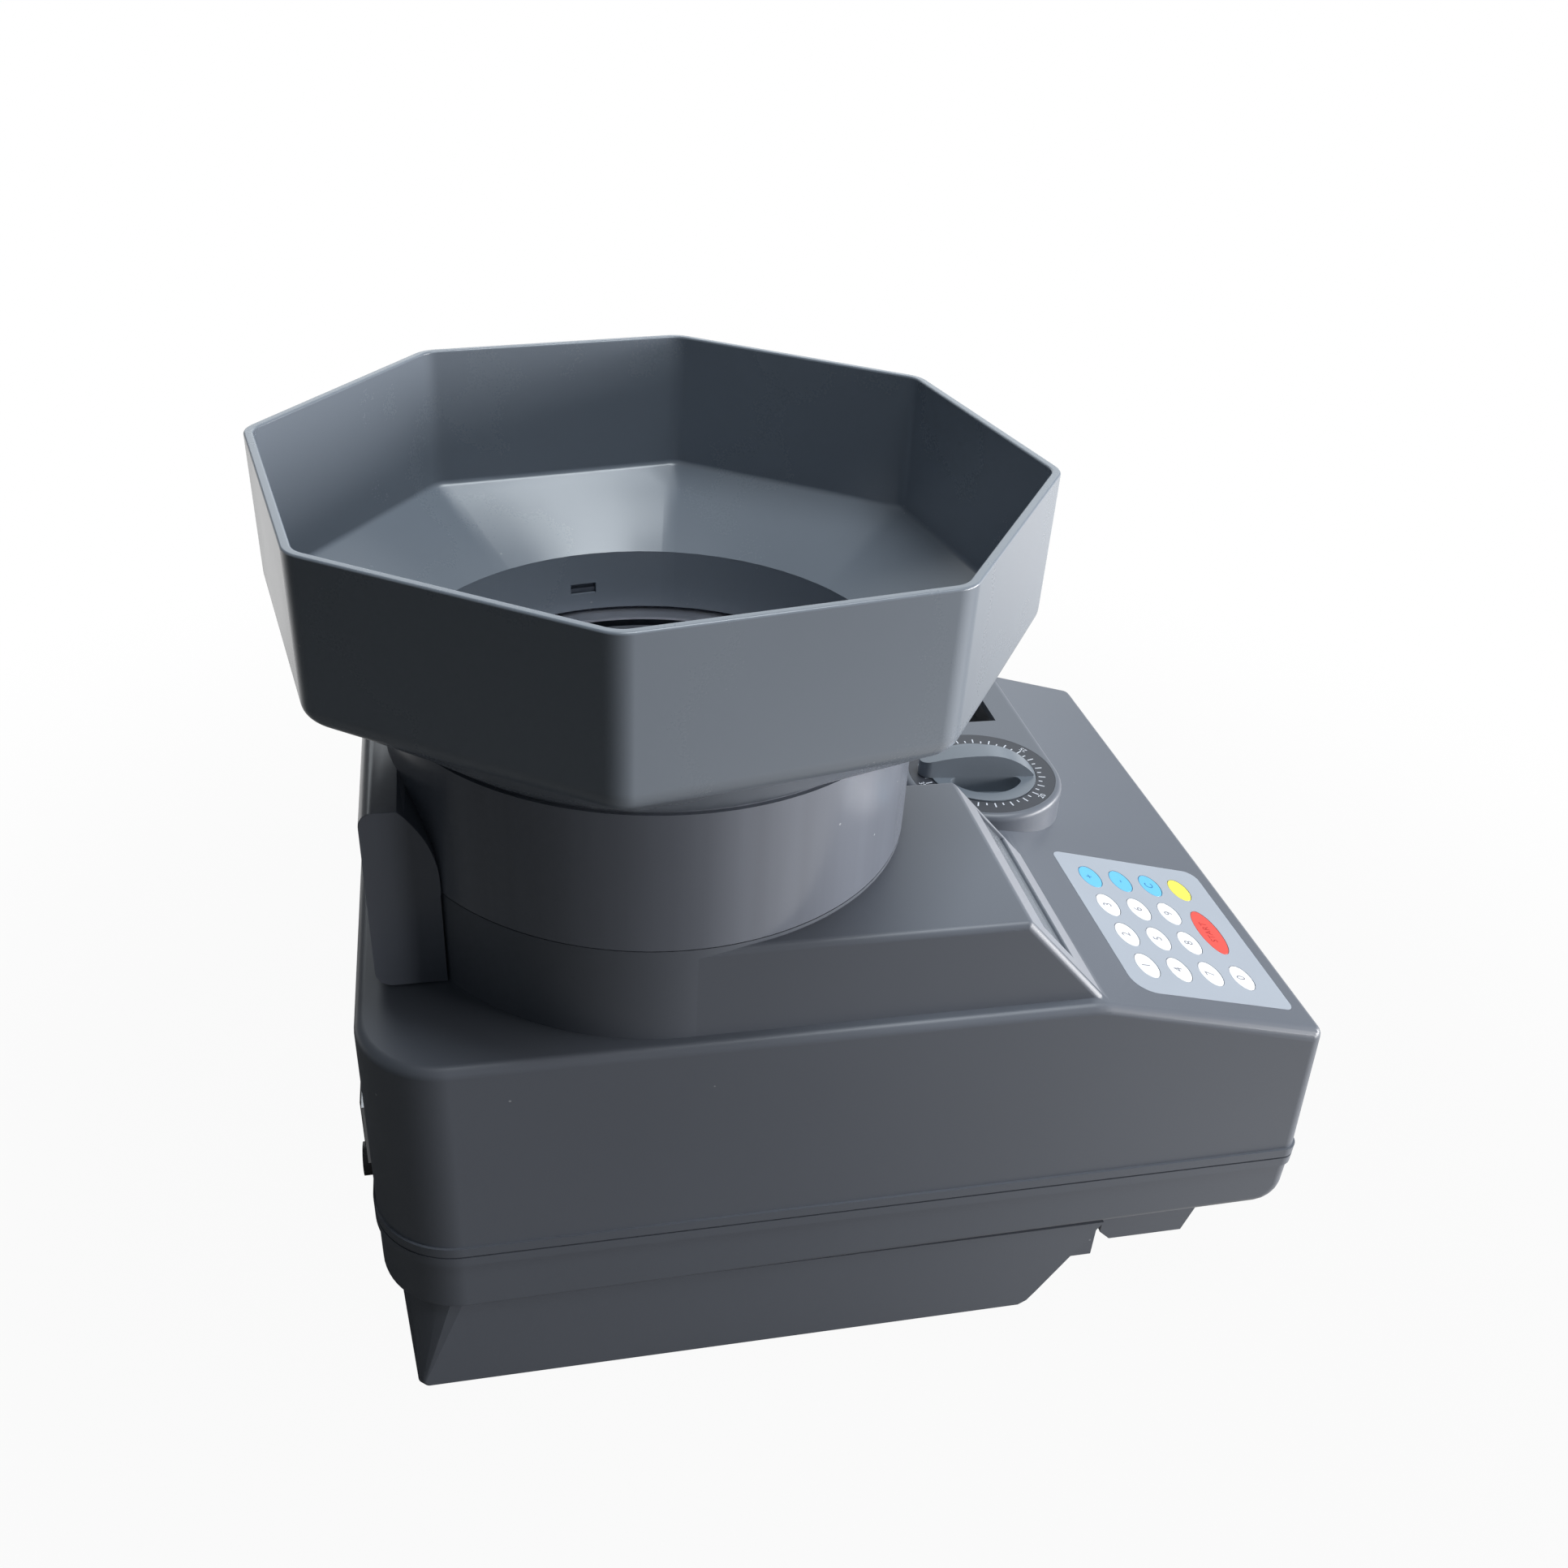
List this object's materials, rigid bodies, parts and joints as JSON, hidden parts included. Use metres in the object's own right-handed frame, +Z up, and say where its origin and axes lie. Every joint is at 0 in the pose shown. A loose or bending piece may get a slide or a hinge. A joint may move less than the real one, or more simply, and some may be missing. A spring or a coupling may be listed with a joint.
{
  "type": "coin sorting machine",
  "caption": "Desktop coin counter and sorter: octagonal hopper on a hinged feed ring, sloped keypad, display, size dial, coin track with window, spouts under the front and a rear power inlet.",
  "frame": {"origin": "on the floor under the middle of the bounding box, at the underside of the rubber feet", "axes": "+Z up, +X to the operator's right, +Y to the back; the sloped keypad and the spouts face -Y"},
  "size_m": [0.3138, 0.3938, 0.35],
  "materials": {
    "housing": "satin, fine moulded grain",
    "hopper": "semi-gloss",
    "ring": "semi-gloss",
    "overlay": "printed film, satin",
    "lens": "glossy, tinted",
    "scale": "dark printed film",
    "knob": "semi-gloss",
    "key_white": "soft satin",
    "key_blue": "soft satin",
    "key_yellow": "soft satin",
    "key_red": "soft satin",
    "black_plastic": "fine grain",
    "black_gloss": "gloss",
    "foot_rubber": "matt",
    "roller_rubber": "matt",
    "belt_rubber": "matt",
    "steel": "brushed",
    "track_steel": "brushed",
    "plate_steel": "brushed",
    "disc": "turned",
    "cast_alloy": "cast",
    "brass_gear": "machined",
    "motor_paint": "satin paint",
    "core_paint": "varnished",
    "circuit_board": "solder mask"
  },
  "bodies": {
    "chassis": {"base_housing": "housing", "rubber_feet": "foot_rubber", "lower_shell": "housing", "case_screws": "steel", "top_cover": "housing", "display_lens": "lens", "display_board": "circuit_board", "keypad_overlay": "overlay", "keypad_board": "circuit_board", "dial_plate": "scale", "frame_posts": "steel", "mechanism_plate": "steel", "bearing_housing": "cast_alloy", "drive_belt": "belt_rubber", "motor_bracket": "steel", "drive_motor": "motor_paint", "track_frame": "track_steel", "roller_belt": "belt_rubber", "roller_motor": "motor_paint", "coin_sensor": "black_plastic", "drop_chute": "track_steel", "coin_spout": "housing", "reject_slide": "track_steel", "reject_spout": "housing", "transformer": "core_paint", "control_board": "circuit_board", "rear_plate": "plate_steel", "power_inlet": "black_plastic", "switch_frame": "black_plastic", "fuse_cap": "black_plastic", "hinge_pin": "steel"},
    "hopper_ring": {"hopper": "hopper", "feed_ring": "ring", "retaining_ring": "steel"},
    "disc": {"feed_disc": "disc", "disc_shaft": "steel", "disc_pulley": "cast_alloy"},
    "motor_shaft": {"motor_pulley": "cast_alloy"},
    "roller_in": {"feed_roller": "roller_rubber"},
    "roller_out": {"exit_roller": "roller_rubber"},
    "roller_motor_shaft": {"roller_drive_pulley": "cast_alloy"},
    "dial": {"dial_knob": "knob", "dial_pinion": "brass_gear"},
    "coin_guide": {"guide_rail": "steel"},
    "rocker": {"power_rocker": "black_gloss"},
    "key_1_cap": {"key_1": "key_white"},
    "key_2_cap": {"key_2": "key_white"},
    "key_3_cap": {"key_3": "key_white"},
    "key_4_cap": {"key_4": "key_white"},
    "key_5_cap": {"key_5": "key_white"},
    "key_6_cap": {"key_6": "key_white"},
    "key_7_cap": {"key_7": "key_white"},
    "key_8_cap": {"key_8": "key_white"},
    "key_9_cap": {"key_9": "key_white"},
    "key_0_cap": {"key_0": "key_white"},
    "key_blue_back_cap": {"key_blue_back": "key_blue"},
    "key_blue_middle_cap": {"key_blue_middle": "key_blue"},
    "key_blue_front_cap": {"key_blue_front": "key_blue"},
    "key_red_cap": {"key_red": "key_red"},
    "key_yellow_cap": {"key_yellow": "key_yellow"}
  },
  "joints": [
    {"name": "hopper_tilt", "type": "hinge", "parent": "chassis", "child": "hopper_ring", "pos_m": [-0.02061, 0.16111, 0.1787], "axis": [-1, 0, 0], "range_deg": [0, 75]},
    {"name": "disc_spin", "type": "hinge", "parent": "chassis", "child": "disc", "pos_m": [-0.02061, 0.06061, 0.2], "axis": [0, 0, 1], "continuous": true},
    {"name": "motor_spin", "type": "hinge", "parent": "chassis", "child": "motor_shaft", "pos_m": [0.07939, 0.07861, 0.15], "axis": [0, 0, 1], "continuous": true},
    {"name": "feed_roller_spin", "type": "hinge", "parent": "chassis", "child": "roller_in", "pos_m": [0.01439, -0.09619, 0.1626], "axis": [0, 1, 0], "continuous": true},
    {"name": "exit_roller_spin", "type": "hinge", "parent": "chassis", "child": "roller_out", "pos_m": [0.05939, -0.09619, 0.1626], "axis": [0, 1, 0], "continuous": true},
    {"name": "roller_motor_spin", "type": "hinge", "parent": "chassis", "child": "roller_motor_shaft", "pos_m": [0.03339, -0.06439, 0.132], "axis": [0, 1, 0], "continuous": true},
    {"name": "dial_turn", "type": "hinge", "parent": "chassis", "child": "dial", "pos_m": [0.02819, -0.09619, 0.178], "axis": [0, 0, 1], "range_deg": [-130, 130]},
    {"name": "guide_slide", "type": "slide", "parent": "chassis", "child": "coin_guide", "axis": [0, 1, 0], "range_m": [-0.0092, 0.0092]},
    {"name": "power_switch", "type": "hinge", "parent": "chassis", "child": "rocker", "pos_m": [-0.04061, 0.17511, 0.1115], "axis": [1, 0, 0], "range_deg": [-16, 0]},
    {"name": "key_1_press", "type": "slide", "parent": "chassis", "child": "key_1_cap", "axis": [0, 0.2546, -0.967], "range_m": [0, 0.0004], "stiffness_N_per_m": 400, "springref_m": -0.001},
    {"name": "key_2_press", "type": "slide", "parent": "chassis", "child": "key_2_cap", "axis": [0, 0.2546, -0.967], "range_m": [0, 0.0004], "stiffness_N_per_m": 400, "springref_m": -0.001},
    {"name": "key_3_press", "type": "slide", "parent": "chassis", "child": "key_3_cap", "axis": [0, 0.2546, -0.967], "range_m": [0, 0.0004], "stiffness_N_per_m": 400, "springref_m": -0.001},
    {"name": "key_4_press", "type": "slide", "parent": "chassis", "child": "key_4_cap", "axis": [0, 0.2546, -0.967], "range_m": [0, 0.0004], "stiffness_N_per_m": 400, "springref_m": -0.001},
    {"name": "key_5_press", "type": "slide", "parent": "chassis", "child": "key_5_cap", "axis": [0, 0.2546, -0.967], "range_m": [0, 0.0004], "stiffness_N_per_m": 400, "springref_m": -0.001},
    {"name": "key_6_press", "type": "slide", "parent": "chassis", "child": "key_6_cap", "axis": [0, 0.2546, -0.967], "range_m": [0, 0.0004], "stiffness_N_per_m": 400, "springref_m": -0.001},
    {"name": "key_7_press", "type": "slide", "parent": "chassis", "child": "key_7_cap", "axis": [0, 0.2546, -0.967], "range_m": [0, 0.0004], "stiffness_N_per_m": 400, "springref_m": -0.001},
    {"name": "key_8_press", "type": "slide", "parent": "chassis", "child": "key_8_cap", "axis": [0, 0.2546, -0.967], "range_m": [0, 0.0004], "stiffness_N_per_m": 400, "springref_m": -0.001},
    {"name": "key_9_press", "type": "slide", "parent": "chassis", "child": "key_9_cap", "axis": [0, 0.2546, -0.967], "range_m": [0, 0.0004], "stiffness_N_per_m": 400, "springref_m": -0.001},
    {"name": "key_0_press", "type": "slide", "parent": "chassis", "child": "key_0_cap", "axis": [0, 0.2546, -0.967], "range_m": [0, 0.0004], "stiffness_N_per_m": 400, "springref_m": -0.001},
    {"name": "key_blue_back_press", "type": "slide", "parent": "chassis", "child": "key_blue_back_cap", "axis": [0, 0.2546, -0.967], "range_m": [0, 0.0004], "stiffness_N_per_m": 400, "springref_m": -0.001},
    {"name": "key_blue_middle_press", "type": "slide", "parent": "chassis", "child": "key_blue_middle_cap", "axis": [0, 0.2546, -0.967], "range_m": [0, 0.0004], "stiffness_N_per_m": 400, "springref_m": -0.001},
    {"name": "key_blue_front_press", "type": "slide", "parent": "chassis", "child": "key_blue_front_cap", "axis": [0, 0.2546, -0.967], "range_m": [0, 0.0004], "stiffness_N_per_m": 400, "springref_m": -0.001},
    {"name": "key_red_press", "type": "slide", "parent": "chassis", "child": "key_red_cap", "axis": [0, 0.2546, -0.967], "range_m": [0, 0.0004], "stiffness_N_per_m": 400, "springref_m": -0.001},
    {"name": "key_yellow_press", "type": "slide", "parent": "chassis", "child": "key_yellow_cap", "axis": [0, 0.2546, -0.967], "range_m": [0, 0.0004], "stiffness_N_per_m": 400, "springref_m": -0.001}
  ],
  "couplings": [
    {"joint": "motor_spin", "follows": "disc_spin", "ratio": 3},
    {"joint": "exit_roller_spin", "follows": "feed_roller_spin", "ratio": 1},
    {"joint": "roller_motor_spin", "follows": "feed_roller_spin", "ratio": 1},
    {"joint": "guide_slide", "follows": "dial_turn", "m_per_rad": 0.004}
  ]
}
